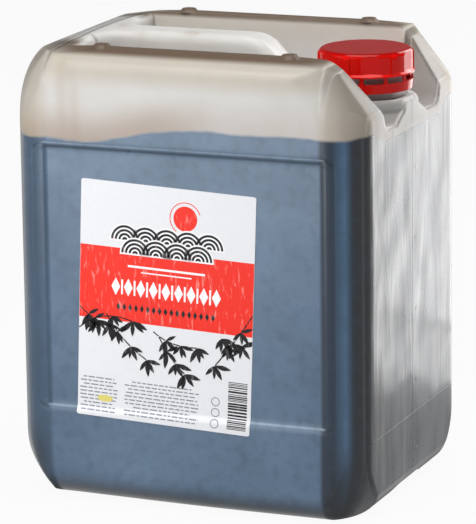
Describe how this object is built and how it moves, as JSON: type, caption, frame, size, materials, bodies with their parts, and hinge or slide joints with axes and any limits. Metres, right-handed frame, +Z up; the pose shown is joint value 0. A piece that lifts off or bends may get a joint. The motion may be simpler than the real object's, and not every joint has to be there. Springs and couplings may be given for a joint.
{
  "type": "soy sauce jerrycan",
  "caption": "Filled plastic jerrycan of soy sauce with a moulded grip, two stacking ridges, a ribbed screw cap and a front label.",
  "frame": {"origin": "middle of the can's base, on the surface that it stands on", "axes": "+X along the can from the handle's closed end to the neck, +Y from the labelled face to the back, +Z up"},
  "size_m": [0.235, 0.1953, 0.2914],
  "materials": {
    "can_plastic": "natural blow-moulded polyethylene, satin and milky",
    "soy_sauce": "dark liquid",
    "cap_plastic": "glossy red injection-moulded polyethylene",
    "label_paper": "smooth coated paper, printed"
  },
  "bodies": {
    "root": {"canister": "can_plastic", "sauce": "soy_sauce", "cap": "cap_plastic", "label": "label_paper"}
  },
  "joints": []
}
